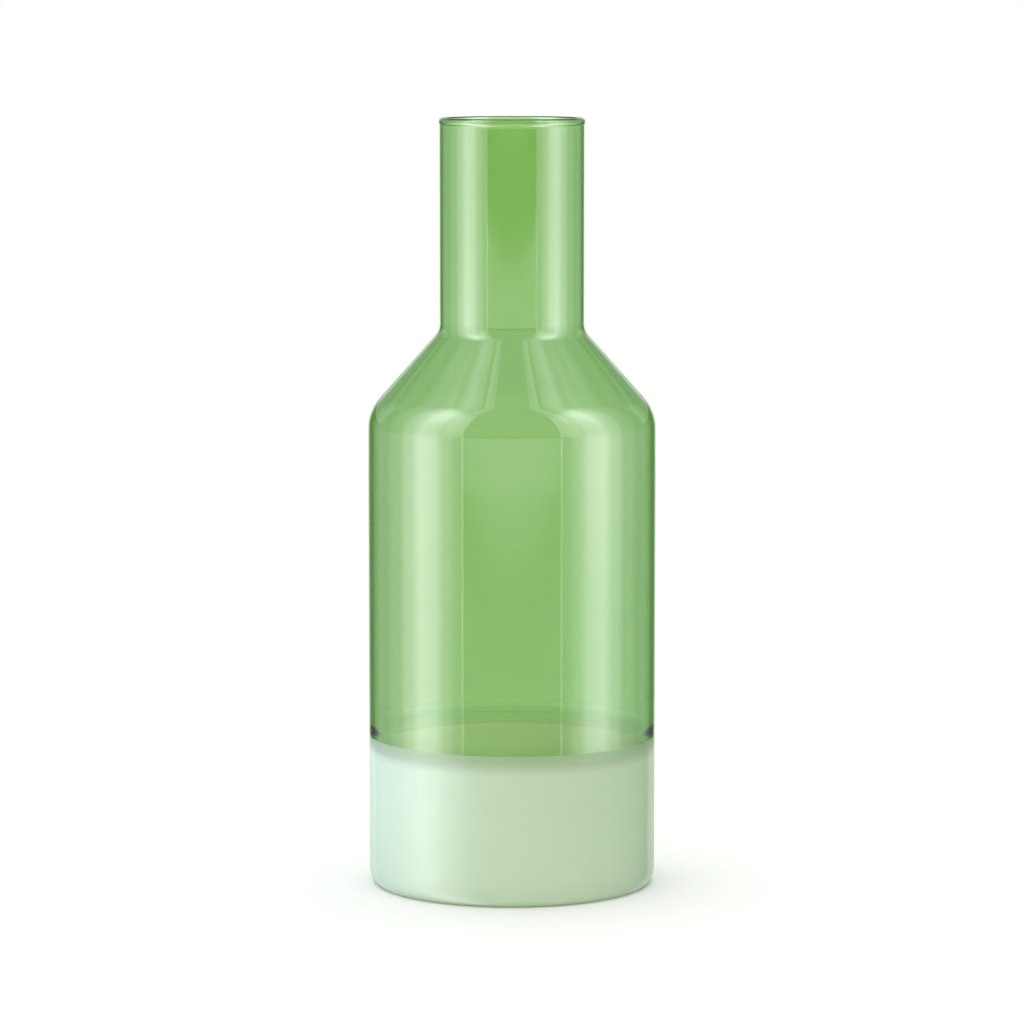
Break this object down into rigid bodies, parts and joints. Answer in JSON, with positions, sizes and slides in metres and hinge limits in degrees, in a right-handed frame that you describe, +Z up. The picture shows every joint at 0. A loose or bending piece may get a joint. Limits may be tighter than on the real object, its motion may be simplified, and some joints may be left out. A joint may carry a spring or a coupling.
{
  "type": "glass carafe",
  "caption": "Blown glass bottle-shaped carafe with a straight neck, conical shoulder and cylindrical body in clear green glass on an opaque mint glass foot.",
  "frame": {"origin": "on the axis, in the plane that the foot stands on", "axes": "+Z up along the carafe's axis, out of the mouth; X and Y are any two horizontal directions, since the carafe is round"},
  "size_m": [0.09, 0.09, 0.2405],
  "materials": {
    "green_glass": "clear, fire-polished",
    "opal_glass": "opaque, glossy"
  },
  "bodies": {
    "root": {"rim_bead": "green_glass", "neck": "green_glass", "shoulder": "green_glass", "body_wall": "green_glass", "seam_ring": "green_glass", "opal_wall": "opal_glass", "opal_base": "opal_glass"}
  },
  "joints": []
}
